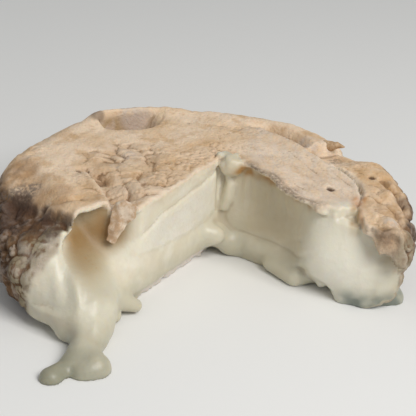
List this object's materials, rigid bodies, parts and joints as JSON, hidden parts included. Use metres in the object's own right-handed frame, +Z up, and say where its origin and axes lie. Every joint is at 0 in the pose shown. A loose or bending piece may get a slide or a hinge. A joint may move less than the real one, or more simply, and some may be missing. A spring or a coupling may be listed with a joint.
{
  "type": "cheese wheel",
  "caption": "Ripe soft cheese wheel with a wrinkled tan rind and a wedge cut out, its creamy paste sagging and running from the cut.",
  "frame": {"origin": "middle of the footprint box, on the table plane under the wheel", "axes": "+Z up from the table through the wheel's thickness, -Y towards the missing wedge, +X to the right as seen from the wedge"},
  "size_m": [0.115, 0.115, 0.0316],
  "materials": {
    "rind": "matte, wrinkled, mottled tan with pale and grey mould",
    "paste": "soft and creamy, moist sheen"
  },
  "bodies": {
    "root": {"cheese_wheel": "rind"}
  },
  "joints": []
}
